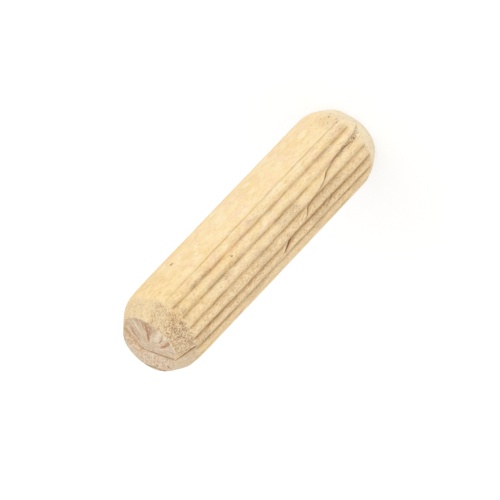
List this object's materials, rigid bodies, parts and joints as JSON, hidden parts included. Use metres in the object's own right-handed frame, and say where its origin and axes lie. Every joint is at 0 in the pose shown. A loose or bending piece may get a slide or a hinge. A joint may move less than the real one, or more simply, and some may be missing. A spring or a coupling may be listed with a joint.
{
  "type": "fluted wooden dowel pin",
  "caption": "Fluted wooden dowel pin with tapered lead-in ends and a smooth band along its side, glued and pressed into drilled holes to line up and join boards.",
  "frame": {"origin": "centre of the lower sawn end face, on the pin's axis", "axes": "+Z along the pin's axis towards its other end, +X towards the middle of the smooth band between the flutes"},
  "size_m": [0.008, 0.008, 0.03],
  "materials": {
    "wood": "matte"
  },
  "bodies": {
    "root": {"dowel_pin": "wood"}
  },
  "joints": []
}
